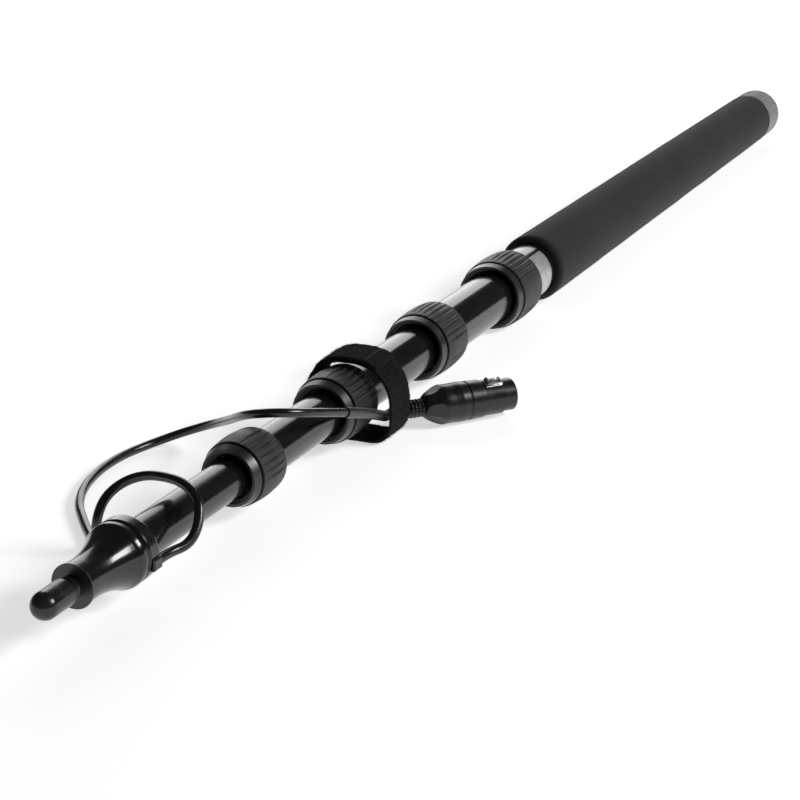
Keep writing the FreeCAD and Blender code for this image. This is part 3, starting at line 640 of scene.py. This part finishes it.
def make_strap_seam(path, width):
    """Row of stitches across the tape near its free end."""
    centre = path[-9]
    ahead = (path[-8] - path[-10]).normalized()
    out = POLE_AXIS.cross(ahead).normalized()
    if (centre - Vector((0, centre.y, AXIS_HEIGHT))).dot(out) < 0:
        out = -out
    pitch = width * STITCH_SPAN / STITCHES
    points = []
    faces = []
    sides = 6
    rings = 7
    for stitch in range(STITCHES):
        middle = pitch * (stitch + 0.5) - width * STITCH_SPAN / 2
        start = len(points)
        for ring in range(rings):
            share = ring / (rings - 1) * 2 - 1
            thick = THREAD_RADIUS * math.sqrt(max(0.04, 1 - share**4))
            rise = STRAP_THICKNESS / 2 + THREAD_RADIUS * (1 - share * share)
            spot = centre + Vector((0, middle + share * pitch * 0.4, 0)) + out * rise
            for step in range(sides):
                turn = 2 * math.pi * step / sides
                points.append(spot + ahead * (thick * math.cos(turn)) + out * (thick * math.sin(turn)))
        faces.extend(tuple(start + index for index in face) for face in grid_faces(rings, sides))
        faces.append(tuple(start + index for index in reversed(range(sides))))
        faces.append(tuple(start + (rings - 1) * sides + index for index in range(sides)))
    seam = facing_out(mesh_object("strap_seam", points, faces))
    return show(seam, "tip", "strap_hook_loop", plain("seam_thread", (0.035, 0.035, 0.036), 0.4))


# ---------------------------------------------------------------- connector

PLUG_START = ROUTE[-1]
PLUG_HEADING = math.radians(-40.73)
LATCH_ROLL = math.radians(22.0)


def plug_matrix(roll=0.0):
    """Places a shape built along +Y on the connector, turned about its own axis by roll."""
    turn = Matrix.Rotation(PLUG_HEADING, 4, "Z") @ Matrix.Rotation(roll, 4, "Y")
    return Matrix.Translation(at(*PLUG_START)) @ turn


BOOT_FRONT = 0.0086
BOOT_BACK = 0.0230
BOOT_RIDGE = 0.0176
BOOT_STEPS = 40
FACETS = 8
FACET_DEPTH = 0.085
TAIL_LENGTH = 0.0080
TAIL_RADIUS = 0.0043
TAIL_STEPS = 44
RIB_PITCH = 0.00195
RIB_HEIGHT = 0.00038


def tail_profile():
    """Ribs of the strain relief, as (radius, length) points."""
    ribs = []
    for step in range(TAIL_STEPS + 1):
        along = TAIL_LENGTH * step / TAIL_STEPS
        wave = math.sin(2 * math.pi * along / RIB_PITCH - math.pi / 2)
        ribs.append((TAIL_RADIUS + RIB_HEIGHT * math.copysign(abs(wave) ** 0.5, wave), along))
    return ribs


def boot_profile():
    """Bulb of the boot: it swells to a ridge, drops a little and runs straight to the shell."""
    shape = [(0.0048, 0.0084)]
    for step in range(BOOT_STEPS + 1):
        share = step / BOOT_STEPS
        along = BOOT_FRONT + (BOOT_BACK - BOOT_FRONT) * share
        swell = math.sin(math.pi / 2 * min(1.0, share * 1.3)) ** 0.8
        drop = 0.00035 if along > BOOT_RIDGE + 0.0004 else 0.0
        shape.append((0.0053 + 0.0049 * swell - drop, along))
    return shape


def make_plug_boot():
    """Ribbed tail and bulbous boot with eight pressed facets that end at a ridge."""
    profile = [(0.0005, 0.0), *tail_profile(), *boot_profile(), (0.0076, BOOT_BACK)]
    segments = 160
    facet = 360 / FACETS
    points = []
    for radius, along in profile:
        share = (along - BOOT_FRONT) / (BOOT_RIDGE - BOOT_FRONT)
        depth = FACET_DEPTH * math.sin(math.pi * share) ** 0.9 if 0.0 < share < 1.0 else 0.0
        for step in range(segments):
            turn = 2 * math.pi * step / segments
            local = (math.degrees(turn) + facet / 2) % facet - facet / 2
            flat = radius * (1 - depth) / math.cos(math.radians(local))
            reached = min(radius, flat)
            if along < BOOT_FRONT - 0.0004:
                reached -= 0.00022 * max(0.0, math.cos(turn * 10)) ** 2
            points.append(Vector((reached * math.cos(turn), along, reached * math.sin(turn))))
    boot = mesh_object("plug_boot_shell", points, grid_faces(len(profile), segments))
    cap = bmesh.new()
    cap.from_mesh(boot.data)
    bmesh.ops.holes_fill(cap, edges=cap.edges)
    cap.to_mesh(boot.data)
    cap.free()
    boot.data.transform(plug_matrix())
    facing_out(boot)
    sharpen(boot, 20)
    return show(boot, "tip", "boot_plastic", plug_plastic(), "plug_boot")


def block(work, size, centre, bevel):
    """Adds a box with rounded edges to a bmesh."""
    made = bmesh.ops.create_cube(work, size=1.0)
    for vertex in made["verts"]:
        vertex.co = Vector([vertex.co[i] * size[i] + centre[i] for i in range(3)])
    edges = list({edge for vertex in made["verts"] for edge in vertex.link_edges})
    bmesh.ops.bevel(work, geom=edges, offset=bevel, segments=3, profile=0.5, affect="EDGES")


def rod(work, radius, length, centre, turn, segments=28):
    """Adds a closed rod to a bmesh; turn sends its Z axis where it should point."""
    matrix = Matrix.Translation(centre) @ turn
    bmesh.ops.create_cone(
        work,
        cap_ends=True,
        segments=segments,
        radius1=radius,
        radius2=radius,
        depth=length,
        matrix=matrix,
    )


# Size, centre and edge rounding of each block, with y along the connector.
LATCH_PLATE_BLOCKS = [
    ((0.0050, 0.0090, 0.0012), (0, 0.0452, 0.00875), 0.0004),
    ((0.0032, 0.0062, 0.0008), (0, 0.0464, 0.00965), 0.0003),
    ((0.0010, 0.0046, 0.0011), (0.0019, 0.0466, 0.00975), 0.0003),
    ((0.0010, 0.0046, 0.0011), (-0.0019, 0.0466, 0.00975), 0.0003),
]
ACROSS_THE_PLUG = Matrix.Rotation(math.pi / 2, 4, "Y")


def latch_piece(name, work):
    """Turns a bmesh built along the connector into a latch piece in its place."""
    piece = link(name, bpy.data.meshes.new(name))
    work.to_mesh(piece.data)
    work.free()
    piece.data.transform(plug_matrix(LATCH_ROLL))
    return sharpen(facing_out(piece), 35)


def make_latch():
    """Chrome release latch: a plate, a raised tongue between two lugs, a rod, and a grey thumb knob."""
    work = bmesh.new()
    for size, centre, bevel in LATCH_PLATE_BLOCKS:
        block(work, size, centre, bevel)
    rod(work, 0.0009, 0.0044, (0, 0.0489, 0.0097), ACROSS_THE_PLUG)
    plate = latch_piece("plug_latch_plate", work)
    chrome = plain("latch_chrome_plate", (0.92, 0.92, 0.93), 0.3, metallic=1.0)
    show(plate, "latch", "latch_chrome", chrome, "plug_latch")
    work = bmesh.new()
    rod(work, 0.0011, 0.0046, (0, 0.0421, 0.0102), ACROSS_THE_PLUG)
    block(work, (0.0040, 0.0022, 0.0012), (0, 0.0421, 0.0096), 0.0003)
    knob = latch_piece("plug_latch_knob", work)
    show(knob, "latch", "latch_chrome", plain("latch_knob", (0.16, 0.16, 0.165), 0.3, metallic=0.6))
    return [plate, knob]


# ---------------------------------------------------------------- internal coil


def make_coil(name, node, wire=0.0014, pitch=0.0034, turn_steps=14):
    """Helical lead wound to the outer size of its CAD solid."""
    low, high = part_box(node)
    radius = (high.x - low.x) / 2 - wire
    start, end = low.y - TIP_END + wire, high.y - TIP_END - wire
    turns = (end - start) / pitch
    count = int(turns * turn_steps)
    path = []
    for step in range(count + 1):
        turn = 2 * math.pi * step / turn_steps
        station = start + (end - start) * step / count
        path.append(at(radius * math.cos(turn), station, radius * math.sin(turn)))
    coil = sweep(name, path, round_section(wire, 6))
    return facing_out(coil)


# ---------------------------------------------------------------- carried-over parts


def dress(names, finish):
    for name in names:
        data = nodes[name].data
        data.materials.clear()
        data.materials.append(finish)


def numbered(stem, count=4):
    return [f"{stem}_{index}" for index in range(1, count + 1)]


MOUTH_DEPTH = 0.0042
# A face that looks straight forwards has normal.y near -1; a chamfer's lies between these two.
FLAT_FACING = -0.95
STEEPEST_STEP = -0.3


def off_axis(spot):
    return math.hypot(spot.x, spot.z - AXIS_HEIGHT)


def polish_mouths():
    """Gives the chamfered steps inside each collar's mouth a polished finish."""
    polished = plain("polished_step", (0.55, 0.55, 0.56), 0.22, metallic=1.0)
    for name in numbered("lock_nut"):
        data = nodes[name].data
        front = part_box(name)[0].y
        rims = [off_axis(vertex.co) for vertex in data.vertices if vertex.co.y < front + INSIDE]
        lip = max(rims)
        data.materials.append(polished)
        for face in data.polygons:
            inside = off_axis(face.center) < lip - INSIDE and face.center.y < front + MOUTH_DEPTH
            if inside and FLAT_FACING < face.normal.y < STEEPEST_STEP:
                face.material_index = 1


def dress_parts():
    dress(numbered("tube", 5), anodised_tube())
    dress(numbered("lock_nut"), satin_metal())
    polish_mouths()
    dress(numbered("grip_sleeve"), moulded_rubber())
    dress(["tip_cone", "exit_ring", "exit_gland"], gloss_nose())
    dress(["thread_cap"], cap_vinyl())
    dress(["mic_stud"], dark_steel())
    dress(["cable_sleeve"], plain("shrink_sleeve", (0.016, 0.016, 0.0165), 0.36))
    dress(["serial_label"], label_foil())
    dress(["base_cap"], knurled_grey())
    dress(numbered("guide_bush"), plain("white_nylon", (0.62, 0.61, 0.57), 0.45))
    dress(numbered("ferrule"), plain("bare_aluminium", (0.6, 0.6, 0.61), 0.32, metallic=1.0))
    dress(numbered("collet"), plain("grey_acetal", (0.12, 0.12, 0.125), 0.4))
    dress(numbered("wiper"), plain("wiper_felt", (0.02, 0.02, 0.02), 0.95, grain=3000))
    dress(["output_insert", "plug_insert"], plain("insert_plastic", (0.015, 0.015, 0.015), 0.4))
    dress(["output_pins", "plug_contacts"], plain("contact_metal", (0.72, 0.58, 0.3), 0.25, metallic=1.0))
    dress(["plug_chuck", "plug_shell"], plug_plastic())


# ---------------------------------------------------------------- studio


def area_light(name, spot, target, size, radiance):
    """Rectangular softbox of a given brightness, aimed at a target."""
    data = bpy.data.lights.new(name, "AREA")
    data.shape = "RECTANGLE"
    data.size, data.size_y = size
    data.energy = radiance * math.pi * size[0] * size[1]
    light = link(name, data)
    light.location = spot
    light.rotation_euler = (Vector(target) - Vector(spot)).to_track_quat("-Z", "Y").to_euler()


def make_studio():
    scene = bpy.context.scene
    scene.view_settings.view_transform = "Standard"
    scene.view_settings.look = "None"
    world = bpy.data.worlds.new("studio")
    world.use_nodes = True
    background = world.node_tree.nodes["Background"]
    background.inputs["Color"].default_value = (1, 1, 1, 1)
    background.inputs["Strength"].default_value = 0.06
    scene.world = world
    half = 7.0
    floor = mesh_object(
        "studio_floor",
        [(-half, -half, 0), (half, -half, 0), (half, half, 0), (-half, half, 0)],
        [(0, 1, 2, 3)],
        smooth=False,
    )
    paper = Finish("studio_paper", (0.9, 0.9, 0.9), 0.9, specular=0.1)
    paper.set("Emission Color", (1.0, 1.0, 1.0, 1.0))
    paper.set("Emission Strength", 0.58)
    floor.data.materials.append(paper.material)
    area_light("key_right", (2.1, 0.4, 1.45), (0.0, -0.1, 0.0), (1.0, 0.8), 18.0)
    area_light("back_left", (-1.15, 2.1, 0.95), (0.0, 0.0, 0.0), (2.0, 1.8), 2.6)


# ---------------------------------------------------------------- making

random.seed(SEED)
make_camera()
cable = make_cable()
make_foam()
strap_pieces = make_strap()
boot = make_plug_boot()
latch_pieces = make_latch()
show(make_coil("coil_winding", "coil_cable"), "tip", "black_pvc", cable_jacket(), "coil_cable")
show(make_coil("coil_tail_winding", "coil_tail"), "base", "black_pvc", cable_jacket(), "coil_tail")
dress_parts()
make_studio()
